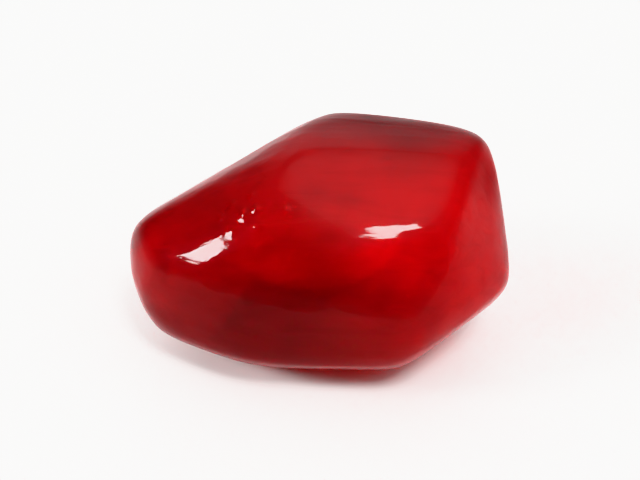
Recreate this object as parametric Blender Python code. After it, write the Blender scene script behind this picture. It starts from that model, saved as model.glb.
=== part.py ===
"""One pomegranate aril: a juicy, faceted grain of flesh that lies on one of its flat sides.

Metres, +Z up. The long axis runs along X, with the narrow attachment end at -X and the blunt
crown end at +X. The origin is under the middle of the bounding box, on the surface it lies on.
"""

import math

import bmesh
import bpy
from mathutils import Matrix, Vector

# ---------------------------------------------------------------- driving dimensions (metres)
LENGTH = 0.0110  # attachment end to crown
WIDTH = 0.0076  # front to back
HEIGHT = 0.0066  # from the side it lies on to the top
REST_DEPTH = 0.00040  # how far the underside is pressed flat where it rests
REST_BLEND = 0.00018  # the half height over which that flat rounds into the sides
SMOOTHNESS = 17.0  # the higher, the tighter the rounded ridges between the facets
LEAN = math.radians(40.0)  # the facets are laid out on a frame leaning back by this much
PLUMP = (6.60, 4.70, 4.60)  # half axes in mm of the plump body that the facets are pressed into
SUBDIVISIONS = 5

# The grain is pressed into shape by its neighbours in the fruit, so its sides are soft facets.
# Each row is the way a facet looks on the leaning frame (right, up, near) and its distance from
# the middle in mm.
FACETS = (
    # the outline
    ((-1.00, -0.04, 0.00), 5.78),  # attachment end
    ((-0.49, 0.87, 0.00), 3.14),
    ((0.12, 1.00, -0.08), 3.84),
    ((0.98, 0.17, 0.00), 5.60),  # crown
    ((0.58, -0.82, 0.00), 4.50),
    ((-0.03, -1.00, 0.05), 3.80),
    ((-0.31, -0.95, 0.00), 4.15),
    ((-0.89, -0.45, 0.00), 5.60),
    # the near side
    ((0.05, 0.84, 0.54), 3.36),
    ((0.05, 0.46, 0.89), 3.15),
    ((-0.12, 0.22, 0.97), 3.25),
    ((0.16, -0.10, 0.98), 3.62),
    ((-0.25, -0.15, 0.96), 3.43),
    ((-0.08, -0.68, 0.73), 3.80),
    ((-0.47, 0.76, 0.45), 3.22),
    ((-0.48, 0.42, 0.77), 3.36),
    ((-0.82, 0.05, 0.57), 4.85),
    ((-0.50, -0.50, 0.70), 4.10),
    ((0.78, 0.05, 0.62), 4.80),
    ((0.62, -0.40, 0.67), 4.75),
    # the far side
    ((0.00, 0.35, -0.94), 3.60),
    ((0.10, -0.35, -0.93), 3.72),
    ((-0.72, 0.20, -0.66), 4.05),
    ((0.74, 0.10, -0.66), 4.40),
    ((-0.30, 0.72, -0.63), 3.50),
    ((0.42, 0.66, -0.62), 3.95),
    ((-0.58, -0.42, -0.70), 4.20),
    ((0.50, -0.50, -0.70), 4.25),
    ((0.00, -0.766, -0.643), 3.62),  # the side it lies on
)


def body_point(way):
    """The point of the faceted body in the direction `way` of the leaning frame."""
    total = math.hypot(*(way[k] / PLUMP[k] for k in range(3))) ** SMOOTHNESS
    for facing, distance in FACETS:
        along = way.dot(Vector(facing).normalized())
        if along > 0.0:
            total += (along / distance) ** SMOOTHNESS
    return way * (0.001 * total ** (-1.0 / SMOOTHNESS))


def pressed(height):
    """Nothing reaches below the surface it lies on, and the flat rounds gently into the sides."""
    if height <= -REST_BLEND:
        return 0.0
    if height >= REST_BLEND:
        return height
    return (height + REST_BLEND) ** 2 / (4.0 * REST_BLEND)


def clear_scene():
    for thing in list(bpy.data.objects):
        bpy.data.objects.remove(thing, do_unlink=True)


def flesh_material():
    material = bpy.data.materials.new("aril_flesh")
    material.use_nodes = True
    shader = material.node_tree.nodes["Principled BSDF"]
    shader.inputs["Base Color"].default_value = (0.42, 0.006, 0.010, 1.0)
    shader.inputs["Roughness"].default_value = 0.12
    shader.inputs["Metallic"].default_value = 0.0
    return material


def build_aril():
    # right, up and near of the leaning frame, as columns in world axes
    c, s = math.cos(LEAN), math.sin(LEAN)
    lean = Matrix(((1.0, 0.0, 0.0), (0.0, s, -c), (0.0, c, s)))

    bm = bmesh.new()
    bmesh.ops.create_icosphere(bm, subdivisions=SUBDIVISIONS, radius=1.0)
    for vert in bm.verts:
        way = Vector((vert.co.x * LENGTH, vert.co.y * HEIGHT, vert.co.z * WIDTH)).normalized()
        vert.co = lean @ body_point(way)

    low = Vector([min(v.co[k] for v in bm.verts) for k in range(3)])
    high = Vector([max(v.co[k] for v in bm.verts) for k in range(3)])
    # the size is brought to the driving dimensions, and the underside is pressed flat
    full = Vector((LENGTH, WIDTH, HEIGHT + REST_DEPTH))
    for vert in bm.verts:
        for k in range(3):
            vert.co[k] = (vert.co[k] - low[k]) * full[k] / (high[k] - low[k])
        vert.co.x -= LENGTH / 2
        vert.co.y -= WIDTH / 2
        vert.co.z = pressed(vert.co.z - REST_DEPTH)

    bmesh.ops.recalc_face_normals(bm, faces=bm.faces)
    mesh = bpy.data.meshes.new("aril")
    bm.to_mesh(mesh)
    bm.free()
    mesh.shade_smooth()
    mesh.materials.append(flesh_material())
    aril = bpy.data.objects.new("aril", mesh)
    bpy.context.scene.collection.objects.link(aril)
    return aril


clear_scene()
build_aril()
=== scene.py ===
import math

import bmesh
import bpy
import numpy as np
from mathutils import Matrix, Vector, noise


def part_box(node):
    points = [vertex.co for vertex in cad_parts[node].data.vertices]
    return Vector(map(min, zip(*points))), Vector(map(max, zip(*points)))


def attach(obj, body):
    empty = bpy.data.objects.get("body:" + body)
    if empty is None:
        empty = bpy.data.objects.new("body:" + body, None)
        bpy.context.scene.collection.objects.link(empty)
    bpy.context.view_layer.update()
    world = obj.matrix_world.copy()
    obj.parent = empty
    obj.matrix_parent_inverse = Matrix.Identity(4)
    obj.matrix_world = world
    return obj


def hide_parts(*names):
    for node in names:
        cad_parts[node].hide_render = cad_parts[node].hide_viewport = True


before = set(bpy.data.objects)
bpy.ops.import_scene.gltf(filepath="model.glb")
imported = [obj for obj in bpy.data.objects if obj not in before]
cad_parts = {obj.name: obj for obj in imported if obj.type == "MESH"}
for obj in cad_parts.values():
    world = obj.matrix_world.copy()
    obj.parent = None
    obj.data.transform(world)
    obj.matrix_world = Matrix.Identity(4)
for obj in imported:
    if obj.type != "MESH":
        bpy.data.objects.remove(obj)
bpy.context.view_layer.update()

MM = 0.001
LO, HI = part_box("aril")
LENGTH, WIDTH, HEIGHT = (HI.x - LO.x) / MM, (HI.y - LO.y) / MM, (HI.z - LO.z) / MM

# ------------------------------------------------------------------ the aril's shape
# The same facets as in the CAD part, on the frame that leans back by 40 degrees: the way a facet
# looks (right, up, near) and its distance from the middle in mm.
LEAN = math.radians(40.0)
SMOOTHNESS = 17.0
PLUMP = np.array((6.60, 4.70, 4.60))
REST_DEPTH, REST_BLEND = 0.40, 0.18
FACETS = (
    ((-1.00, -0.04, 0.00), 5.78),
    ((-0.49, 0.87, 0.00), 3.14),
    ((0.12, 1.00, -0.08), 3.84),
    ((0.98, 0.17, 0.00), 5.60),
    ((0.58, -0.82, 0.00), 4.50),
    ((-0.03, -1.00, 0.05), 3.80),
    ((-0.31, -0.95, 0.00), 4.15),
    ((-0.89, -0.45, 0.00), 5.60),
    ((0.05, 0.84, 0.54), 3.36),
    ((0.05, 0.46, 0.89), 3.15),
    ((-0.12, 0.22, 0.97), 3.25),
    ((0.16, -0.10, 0.98), 3.62),
    ((-0.25, -0.15, 0.96), 3.43),
    ((-0.08, -0.68, 0.73), 3.80),
    ((-0.47, 0.76, 0.45), 3.22),
    ((-0.48, 0.42, 0.77), 3.36),
    ((-0.82, 0.05, 0.57), 4.85),
    ((-0.50, -0.50, 0.70), 4.10),
    ((0.78, 0.05, 0.62), 4.80),
    ((0.62, -0.40, 0.67), 4.75),
    ((0.00, 0.35, -0.94), 3.60),
    ((0.10, -0.35, -0.93), 3.72),
    ((-0.72, 0.20, -0.66), 4.05),
    ((0.74, 0.10, -0.66), 4.40),
    ((-0.30, 0.72, -0.63), 3.50),
    ((0.42, 0.66, -0.62), 3.95),
    ((-0.58, -0.42, -0.70), 4.20),
    ((0.50, -0.50, -0.70), 4.25),
    ((0.00, -0.766, -0.643), 3.62),
)
# one ridge on the near side is worn a little flatter than the CAD part's
FACETS += (((-0.43, 0.15, 0.89), 3.55),)

# painted light and shade in the flesh colour, facet by facet in the same order: the flesh is made darker
# along the top and towards the attachment end and lighter towards the crown, standing in for how the light falls
# through it
PAINTED_FACET_SHADE = np.array((
    0.53, 0.28, 0.20, 0.72, 0.88, 0.46, 0.38, 0.38,
    0.08, 0.62, 0.90, 1.25, 0.46, 0.31, 0.26, 0.33, 0.41, 0.25, 0.86, 0.90,
    0.60, 0.62, 0.60, 0.95, 0.35, 0.45, 0.62, 0.95, 0.75, 0.47,
))
# how wet the skin is on each facet, in the same order
WETNESS = np.array((
    0.60, 0.60, 0.15, 0.45, 0.55, 0.40, 0.40, 0.50,
    1.00, 1.00, 1.00, 1.00, 1.00, 0.45, 0.90, 1.00, 0.95, 0.45, 0.50, 0.50,
    0.85, 0.80, 0.90, 0.70, 0.90, 0.85, 0.75, 0.70, 0.60, 1.00,
))
# patches of painted shade (strength below 0) and painted light (above 0) in the flesh colour: place on the leaning
# frame, radius and strength
PAINTED_SHADE_PATCHES = (
    ((4.8, 1.7, 1.1), 1.4, -0.66),
    ((2.6, 2.7, 1.9), 0.9, -0.40),
    ((0.1, -0.8, 3.5), 1.3, -0.60),
    ((2.9, -0.5, 3.1), 1.0, 0.10),
    ((-4.7, 0.6, 1.2), 0.8, -0.25),
    ((-0.9, 2.9, 1.8), 0.9, 0.60),
    ((-1.9, 1.2, -3.0), 1.4, 0.35),
    ((2.2, -1.6, -2.8), 1.3, -0.30),
    ((3.6, 2.1, -1.8), 1.2, 0.25),
)
# patches of drier, duller skin: place on the leaning frame, radius and strength
DRY = (
    ((4.9, 1.9, 1.0), 1.2, 0.75),
    ((-0.6, 3.7, 0.3), 1.0, 0.60),
    ((1.6, 3.7, 0.3), 1.2, 0.60),
    ((3.3, 3.4, 0.3), 1.1, 0.60),
)


def gauge(way):
    """The faceted body in each direction: its radius, how strongly a facet rules, painted facet shade, wetness."""
    facings = np.array([f for f, _ in FACETS])
    facings /= np.linalg.norm(facings, axis=1)[:, None]
    shares = np.maximum(way @ facings.T, 0.0) / np.array([d for _, d in FACETS])
    total = np.linalg.norm(way / PLUMP, axis=1) ** SMOOTHNESS + (shares**SMOOTHNESS).sum(1)
    soft = shares**9.0
    rule = soft.max(1) / soft.sum(1)
    return total ** (-1.0 / SMOOTHNESS), rule, soft @ PAINTED_FACET_SHADE / soft.sum(1), soft @ WETNESS / soft.sum(1)


def leaned(p):
    c, s = math.cos(LEAN), math.sin(LEAN)
    return np.stack([p[:, 0], s * p[:, 1] - c * p[:, 2], c * p[:, 1] + s * p[:, 2]], 1)


def icosphere(subdivisions, finer_towards=None, cosine=0.0):
    """A unit icosphere, once more subdivided round the direction `finer_towards`."""
    bm = bmesh.new()
    bmesh.ops.create_icosphere(bm, subdivisions=subdivisions, radius=1.0)
    if finer_towards is not None:
        towards = Vector(finer_towards).normalized()
        edges = [e for e in bm.edges if all(v.co.dot(towards) > cosine for v in e.verts)]
        bmesh.ops.subdivide_edges(bm, edges=edges, cuts=1, use_grid_fill=True)
        bmesh.ops.triangulate(bm, faces=bm.faces)
    mesh = bpy.data.meshes.new("grain")
    bm.to_mesh(mesh)
    bm.free()
    co = np.empty(len(mesh.vertices) * 3)
    mesh.vertices.foreach_get("co", co)
    co = co.reshape(-1, 3)
    co /= np.linalg.norm(co, axis=1)[:, None]
    return mesh, co


def finish_mesh(name, mesh, points, material):
    mesh.name = name
    mesh.vertices.foreach_set("co", points.astype(np.float32).ravel())
    mesh.update()
    mesh.shade_smooth()
    mesh.materials.append(material)
    piece = bpy.data.objects.new(name, mesh)
    bpy.context.scene.collection.objects.link(piece)
    return piece


def noise_at(points, scale, offset=0.0, stretch=(1, 1, 1)):
    s = Vector(stretch) * scale
    o = Vector((offset, offset * 1.7, offset * 0.6))
    return np.array([noise.noise(Vector((p[0] * s.x, p[1] * s.y, p[2] * s.z)) + o) for p in points])


# the attachment scar, on the narrow end and a little round the back
SCAR = leaned(np.array([(-0.955, -0.16, -0.25)]))[0]
SCAR /= np.linalg.norm(SCAR)


# the places of the blisters, in mm on the leaning frame
random = np.random.default_rng(4)
BLISTERS = np.concatenate([
    ((-2.06, 0.66, 2.7), (-1.66, 0.78, 2.7), (-2.38, 0.22, 2.7), (-1.22, 0.08, 2.9), (-2.55, 1.00, 2.5),
     (-1.84, 1.18, 2.6), (-1.12, -0.90, 3.0), (-2.86, 0.62, 2.5), (-1.52, 0.34, 2.8), (-0.84, 0.74, 2.9)),
    random.normal((0.0, 0.0, 0.0), (3.0, 2.0, 2.2), (16, 3)),
])
BLISTER_SIZE = random.uniform(0.10, 0.15, len(BLISTERS))
BLISTER_RISE = random.uniform(0.004, 0.010, len(BLISTERS))
BLISTER_RISE[:10] = (0.042, 0.034, 0.018, 0.012, 0.020, 0.022, 0.012, 0.018, 0.016, 0.014)
ways = BLISTERS / np.linalg.norm(BLISTERS, axis=1)[:, None]
BLISTERS = leaned(ways * gauge(ways)[0][:, None])


def flesh_points(way):
    stretched = way * np.array((LENGTH, HEIGHT, WIDTH))
    stretched /= np.linalg.norm(stretched, axis=1)[:, None]
    radius, rule, tone, wet = gauge(stretched)
    base = leaned(stretched * radius[:, None])
    low, high = base.min(0), base.max(0)
    fit = np.array((LENGTH, WIDTH, HEIGHT + REST_DEPTH)) / (high - low)
    middle = (low + high) / 2

    d = leaned(stretched)
    # painted shade and light in patches, on top of the painted facet shade
    for place, size, strength in PAINTED_SHADE_PATCHES:
        apart = np.linalg.norm(stretched * radius[:, None] - np.array(place), axis=1)
        tone = tone * (1.0 + strength * np.exp(-((apart / size) ** 2)))
    for place, size, strength in DRY:
        apart = np.linalg.norm(stretched * radius[:, None] - np.array(place), axis=1)
        wet = wet * (1.0 - strength * np.exp(-((apart / size) ** 2)))
    # facets that are pressed in a little between their rounded ridges
    inward = 0.16 * (rule - 0.35)
    # the uneven plumpness of a grown thing
    inward += 0.05 * noise_at(base, 0.45, 3.1)
    # fibres of juice sacs that run from the scar to the crown
    inward += 0.008 * noise_at(base, 1.0, 7.7, (0.35, 2.2, 2.2))
    inward += 0.002 * noise_at(base, 2.2, 1.3, (0.5, 2.0, 2.0))
    # tiny droplets and blisters of juice on the skin, most of them towards the attachment end
    for i in range(len(BLISTERS)):
        apart = np.linalg.norm(base - BLISTERS[i], axis=1)
        inward -= BLISTER_RISE[i] * np.exp(-((apart / BLISTER_SIZE[i]) ** 2))
    # the scar: a shallow dimple with a torn rim
    away = np.degrees(np.arccos(np.clip(d @ SCAR, -1, 1)))
    turn = noise_at(d, 5.0, 2.2)
    inward += 0.22 * np.exp(-((away / 5.2) ** 2)) - 0.07 * np.exp(-(((away - 9.0 - 2 * turn) / 3.0) ** 2))
    p = base - d * np.maximum(inward, -0.05)[:, None]
    p = (p - middle) * fit
    p[:, 2] += HEIGHT / 2 - REST_DEPTH / 2
    z = p[:, 2].copy()
    pressed = np.where(z <= -REST_BLEND, 0.0, np.where(z >= REST_BLEND, z, (z + REST_BLEND) ** 2 / (4 * REST_BLEND)))
    p[:, 2] = pressed
    return p * MM, tone, wet, int(np.argmax(d @ SCAR))


# ------------------------------------------------------------------ materials
def nodes_of(material):
    material.use_nodes = True
    tree = material.node_tree
    tree.nodes.clear()
    return tree


def add(tree, kind, **settings):
    node = tree.nodes.new(kind)
    for key, value in settings.items():
        if key.startswith("in_"):
            name = key[3:].replace("_", " ")
            node.inputs[name].default_value = value
        else:
            setattr(node, key, value)
    return node


def link(tree, a, out, b, into):
    tree.links.new(a.outputs[out], b.inputs[into])


def ramp(tree, stops):
    node = tree.nodes.new("ShaderNodeValToRGB")
    bar = node.color_ramp
    while len(bar.elements) > 1:
        bar.elements.remove(bar.elements[-1])
    bar.elements[0].position, bar.elements[0].color = stops[0][0], (*stops[0][1], 1.0)
    for at, colour in stops[1:]:
        bar.elements.new(at).color = (*colour, 1.0)
    return node


def value_range(tree, low, high, to_low, to_high, smooth=True):
    node = tree.nodes.new("ShaderNodeMapRange")
    node.interpolation_type = "SMOOTHSTEP" if smooth else "LINEAR"
    node.inputs["From Min"].default_value = low
    node.inputs["From Max"].default_value = high
    node.inputs["To Min"].default_value = to_low
    node.inputs["To Max"].default_value = to_high
    return node


def flesh_material():
    m = bpy.data.materials.new("aril_flesh_wet")
    t = nodes_of(m)
    out = add(t, "ShaderNodeOutputMaterial")
    p = add(t, "ShaderNodeBsdfPrincipled")
    p.inputs["IOR"].default_value = 1.15
    p.inputs["Transmission Weight"].default_value = 0.72
    p.inputs["Subsurface Weight"].default_value = 1.0
    p.inputs["Subsurface Radius"].default_value = (1.0, 0.09, 0.07)
    p.inputs["Subsurface Scale"].default_value = 0.0022
    p.inputs["Specular IOR Level"].default_value = 0.0
    p.inputs["Coat Weight"].default_value = 1.0
    p.inputs["Coat Roughness"].default_value = 0.05
    p.inputs["Coat IOR"].default_value = 1.28
    p.inputs["Coat Tint"].default_value = (1.0, 0.40, 0.46, 1.0)
    link(t, p, "BSDF", out, "Surface")
    v = add(t, "ShaderNodeVolumeAbsorption")
    v.inputs["Color"].default_value = (0.93, 0.10, 0.12, 1.0)
    v.inputs["Density"].default_value = 300.0
    link(t, v, "Volume", out, "Volume")

    where = add(t, "ShaderNodeTexCoord")
    mm = add(t, "ShaderNodeMapping")
    mm.inputs["Scale"].default_value = (1000, 1000, 1000)
    link(t, where, "Object", mm, "Vector")

    # fibres from the scar to the crown
    along = add(t, "ShaderNodeMapping")
    along.inputs["Scale"].default_value = (0.30, 2.4, 2.4)
    link(t, mm, "Vector", along, "Vector")
    fibres = add(t, "ShaderNodeTexNoise", in_Scale=1.0, in_Detail=3.0, in_Roughness=0.55, in_Distortion=0.6)
    link(t, along, "Vector", fibres, "Vector")
    # clouds in the flesh
    clouds = add(t, "ShaderNodeTexNoise", in_Scale=0.42, in_Detail=2.0, in_Roughness=0.5)
    link(t, mm, "Vector", clouds, "Vector")

    cloud_colour = ramp(t, [(0.30, (0.46, 0.003, 0.007)), (0.52, (0.60, 0.005, 0.010)), (0.72, (0.70, 0.010, 0.014))])
    link(t, clouds, "Fac", cloud_colour, "Fac")
    fibre_colour = ramp(t, [(0.38, (0.86, 0.80, 0.82)), (0.55, (1.0, 1.0, 1.0)), (0.70, (1.0, 1.0, 1.0))])
    link(t, fibres, "Fac", fibre_colour, "Fac")
    body = add(t, "ShaderNodeMix", data_type="RGBA", blend_type="MULTIPLY")
    body.inputs["Factor"].default_value = 0.8
    t.links.new(cloud_colour.outputs["Color"], body.inputs[6])
    t.links.new(fibre_colour.outputs["Color"], body.inputs[7])

    # the painted light and shade, set facet by facet, darkens or lightens the flesh colour
    tone = add(t, "ShaderNodeAttribute", attribute_name="tone")
    body_with_painted_shade = add(t, "ShaderNodeVectorMath", operation="SCALE")
    t.links.new(body.outputs[2], body_with_painted_shade.inputs[0])
    t.links.new(tone.outputs["Fac"], body_with_painted_shade.inputs["Scale"])

    # the scar is pale, and the flesh round it is thin
    centre = scar_centre
    apart = add(t, "ShaderNodeVectorMath", operation="DISTANCE")
    apart.inputs[1].default_value = centre
    link(t, mm, "Vector", apart, 0)
    wobble = add(t, "ShaderNodeTexNoise", in_Scale=2.6, in_Detail=3.0)
    link(t, mm, "Vector", wobble, "Vector")
    ragged = add(t, "ShaderNodeMath", operation="MULTIPLY_ADD")
    link(t, wobble, "Fac", ragged, 0)
    ragged.inputs[1].default_value = 0.9
    t.links.new(apart.outputs["Value"], ragged.inputs[2])
    pale = value_range(t, 0.70, 1.9, 1.0, 0.0)
    t.links.new(ragged.outputs[0], pale.inputs["Value"])
    tip = value_range(t, 0.45, 0.95, 1.0, 0.0)
    t.links.new(ragged.outputs[0], tip.inputs["Value"])
    thin = add(t, "ShaderNodeMix", data_type="RGBA")
    t.links.new(pale.outputs["Result"], thin.inputs["Factor"])
    t.links.new(body_with_painted_shade.outputs[0], thin.inputs[6])
    thin.inputs[7].default_value = (0.86, 0.20, 0.16, 1.0)
    scar = add(t, "ShaderNodeMix", data_type="RGBA")
    t.links.new(tip.outputs["Result"], scar.inputs["Factor"])
    t.links.new(thin.outputs[2], scar.inputs[6])
    scar.inputs[7].default_value = (0.72, 0.46, 0.27, 1.0)
    t.links.new(scar.outputs[2], p.inputs["Base Color"])

    wetness = add(t, "ShaderNodeAttribute", attribute_name="wet")
    link(t, wetness, "Fac", p, "Coat Weight")

    clear = value_range(t, 0.0, 1.0, 0.78, 0.10, smooth=False)
    t.links.new(tip.outputs["Result"], clear.inputs["Value"])
    dull = value_range(t, 0.05, 0.42, 0.30, 1.0)
    t.links.new(wetness.outputs["Fac"], dull.inputs["Value"])
    clarity = add(t, "ShaderNodeMath", operation="MULTIPLY")
    link(t, clear, "Result", clarity, 0)
    link(t, dull, "Result", clarity, 1)
    link(t, clarity, "Value", p, "Transmission Weight")

    rough = value_range(t, 0.3, 0.7, 0.30, 0.36, smooth=False)
    t.links.new(fibres.outputs["Fac"], rough.inputs["Value"])
    t.links.new(rough.outputs["Result"], p.inputs["Roughness"])

    bump = add(t, "ShaderNodeBump")
    bump.inputs["Strength"].default_value = 0.5
    bump.inputs["Distance"].default_value = 0.00002
    t.links.new(fibres.outputs["Fac"], bump.inputs["Height"])
    t.links.new(bump.outputs["Normal"], p.inputs["Normal"])
    t.links.new(bump.outputs["Normal"], p.inputs["Coat Normal"])
    return m


def seed_material():
    m = bpy.data.materials.new("aril_seed_pale")
    t = nodes_of(m)
    out = add(t, "ShaderNodeOutputMaterial")
    p = add(t, "ShaderNodeBsdfPrincipled")
    p.inputs["Roughness"].default_value = 0.6
    link(t, p, "BSDF", out, "Surface")
    where = add(t, "ShaderNodeTexCoord")
    along = add(t, "ShaderNodeMapping")
    along.inputs["Scale"].default_value = (300, 2600, 2600)
    link(t, where, "Object", along, "Vector")
    grain = add(t, "ShaderNodeTexNoise", in_Scale=1.0, in_Detail=4.0, in_Roughness=0.6)
    link(t, along, "Vector", grain, "Vector")
    tone = ramp(t, [(0.32, (0.62, 0.36, 0.22)), (0.50, (0.84, 0.66, 0.48)), (0.68, (0.93, 0.82, 0.66))])
    link(t, grain, "Fac", tone, "Fac")
    link(t, tone, "Color", p, "Base Color")
    bump = add(t, "ShaderNodeBump")
    bump.inputs["Strength"].default_value = 0.6
    bump.inputs["Distance"].default_value = 0.00005
    link(t, grain, "Fac", bump, "Height")
    link(t, bump, "Normal", p, "Normal")
    return m


# ------------------------------------------------------------------ pieces
mesh, way = icosphere(7, finer_towards=(-0.10, 0.35, 0.93), cosine=0.50)
points, tone, wet, scar_vertex = flesh_points(way)
scar_centre = tuple(points[scar_vertex] / MM)
flesh = finish_mesh("aril_flesh", mesh, points, flesh_material())
# the painted facet shade and the wetness, kept on the mesh for the material
mesh.attributes.new("tone", "FLOAT", "POINT").data.foreach_set("value", tone.astype(np.float32))
mesh.attributes.new("wet", "FLOAT", "POINT").data.foreach_set("value", wet.astype(np.float32))
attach(flesh, "root")
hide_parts("aril")


def seed_points(way):
    """The seed: a slim angular kernel, pointed towards the scar."""
    t = way[:, 0]
    around = np.arctan2(way[:, 2], way[:, 1])
    ring = np.sqrt(np.maximum(1 - t * t, 0.0))
    slim = np.where(t < 0, 1.0 - 0.30 * (-t) ** 1.3, 1.0)
    corner = 1.0 + 0.07 * np.cos(3 * around + 0.6) + 0.03 * np.cos(5 * around + 2.0)
    p = np.stack([2.75 * t, 1.35 * ring * slim * corner * np.cos(around), 1.25 * ring * slim * corner * np.sin(around)], 1)
    swell = 0.05 * noise_at(p, 1.4, 5.0, (0.5, 2.0, 2.0)) + 0.10 * noise_at(p, 0.5, 9.0)
    p *= (1.0 + swell / 1.6)[:, None]
    return p


seed_mesh, seed_way = icosphere(6)
sp = seed_points(seed_way)
yaw, pitch = math.radians(-4.0), math.radians(7.0)
c, s = math.cos(pitch), math.sin(pitch)
sp = np.stack([c * sp[:, 0] - s * sp[:, 2], sp[:, 1], s * sp[:, 0] + c * sp[:, 2]], 1)
c, s = math.cos(yaw), math.sin(yaw)
sp = np.stack([c * sp[:, 0] - s * sp[:, 1], s * sp[:, 0] + c * sp[:, 1], sp[:, 2]], 1)
sp += np.array((-0.35, 0.05, HEIGHT / 2 - 0.05))
seed = finish_mesh("aril_seed", seed_mesh, sp * MM, seed_material())
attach(seed, "root")

# ------------------------------------------------------------------ floor, light and camera
floor_mesh = bpy.data.meshes.new("floor")
floor_mesh.from_pydata([(-1.2, -1.2, 0), (1.2, -1.2, 0), (1.2, 1.2, 0), (-1.2, 1.2, 0)], [], [(0, 1, 2, 3)])
floor = bpy.data.objects.new("floor", floor_mesh)
floor.location.z = -0.00002
bpy.context.scene.collection.objects.link(floor)
fm = bpy.data.materials.new("floor_pale")
ft = nodes_of(fm)
fo = add(ft, "ShaderNodeOutputMaterial")
fp = add(ft, "ShaderNodeBsdfPrincipled")
fp.inputs["Base Color"].default_value = (0.78, 0.78, 0.775, 1.0)
fp.inputs["Roughness"].default_value = 0.85
fp.inputs["Specular IOR Level"].default_value = 0.0
link(ft, fp, "BSDF", fo, "Surface")
floor_mesh.materials.append(fm)

SKY, BOX = 1.5, 2.1
# the studio: bright above, dim on the camera's side, and pale wherever it is seen directly
world = bpy.data.worlds.new("studio")
bpy.context.scene.world = world
wt = nodes_of(world)
wo = add(wt, "ShaderNodeOutputWorld")
wb = add(wt, "ShaderNodeBackground")
wd = add(wt, "ShaderNodeTexCoord")
wdot = add(wt, "ShaderNodeVectorMath", operation="DOT_PRODUCT")
wdot.inputs[1].default_value = (0.40, 0.48, 0.78)
link(wt, wd, "Generated", wdot, 0)
side = value_range(wt, 0.05, 0.60, 0.06, 1.0)
wt.links.new(wdot.outputs["Value"], side.inputs["Value"])
wsep = add(wt, "ShaderNodeSeparateXYZ")
link(wt, wd, "Generated", wsep, "Vector")
rise = value_range(wt, -0.10, 0.75, 0.17, 1.0)
link(wt, wsep, "Z", rise, "Value")
sky = add(wt, "ShaderNodeMath", operation="MULTIPLY")
link(wt, side, "Result", sky, 0)
link(wt, rise, "Result", sky, 1)
above = add(wt, "ShaderNodeVectorMath", operation="DOT_PRODUCT")
above.inputs[1].default_value = (0.12, 0.10, 0.988)
link(wt, wd, "Generated", above, 0)
box = value_range(wt, 0.84, 0.985, 0.0, BOX)
wt.links.new(above.outputs["Value"], box.inputs["Value"])
bright = add(wt, "ShaderNodeMath", operation="MULTIPLY_ADD")
link(wt, sky, "Value", bright, 0)
bright.inputs[1].default_value = SKY
link(wt, box, "Result", bright, 2)
low = value_range(wt, 0.0, 0.30, 1.25, 0.0)
link(wt, wsep, "Z", low, "Value")
behind = add(wt, "ShaderNodeVectorMath", operation="DOT_PRODUCT")
behind.inputs[1].default_value = (0.05, 0.90, 0.43)
link(wt, wd, "Generated", behind, 0)
pane = value_range(wt, 0.78, 0.97, 0.0, 0.85)
wt.links.new(behind.outputs["Value"], pane.inputs["Value"])
both = add(wt, "ShaderNodeMath", operation="ADD")
link(wt, low, "Result", both, 0)
link(wt, pane, "Result", both, 1)
lit = add(wt, "ShaderNodeMath", operation="ADD")
link(wt, bright, "Value", lit, 0)
link(wt, both, "Value", lit, 1)
wp = add(wt, "ShaderNodeLightPath")
wm = add(wt, "ShaderNodeMix", data_type="FLOAT")
wt.links.new(wp.outputs["Is Camera Ray"], wm.inputs[0])
wt.links.new(lit.outputs[0], wm.inputs[2])
wm.inputs[3].default_value = 2.0
wt.links.new(wm.outputs[0], wb.inputs["Strength"])
link(wt, wb, "Background", wo, "Surface")
bpy.context.scene.view_settings.view_transform = "Khronos PBR Neutral"


def area_light(name, towards, distance, size_x, size_y, radiance, colour=(1, 1, 1)):
    data = bpy.data.lights.new(name, "AREA")
    data.shape = "RECTANGLE"
    data.size, data.size_y = size_x, size_y
    data.energy = radiance * size_x * size_y * math.pi
    data.color = colour
    light = bpy.data.objects.new(name, data)
    way = Vector(towards).normalized()
    light.location = Vector((0, 0, HEIGHT / 2 * MM)) + way * distance
    light.rotation_mode = "QUATERNION"
    light.rotation_quaternion = way.to_track_quat("Z", "Y")
    light.visible_camera = False
    bpy.context.scene.collection.objects.link(light)
    return light


area_light("sparkle", (0.21, -0.42, 0.88), 2.6, 0.46, 0.72, 60.0)
area_light("sparkle_left", (-0.83, -0.19, 0.52), 2.6, 0.64, 0.56, 60.0)

camera_data = bpy.data.cameras.new("camera")
camera_data.lens = 85.0
camera_data.sensor_width = 36.0
camera_data.clip_start, camera_data.clip_end = 0.001, 10.0
camera = bpy.data.objects.new("camera", camera_data)
elevation, distance = math.radians(40.0), 0.0440
target = Vector((0.0, 0.0, 0.0033))
back = Vector((0.0, -math.cos(elevation), math.sin(elevation)))
camera.location = target + back * distance
camera.rotation_mode = "QUATERNION"
camera.rotation_quaternion = (-back).to_track_quat("-Z", "Y")
bpy.context.scene.collection.objects.link(camera)
bpy.context.scene.camera = camera
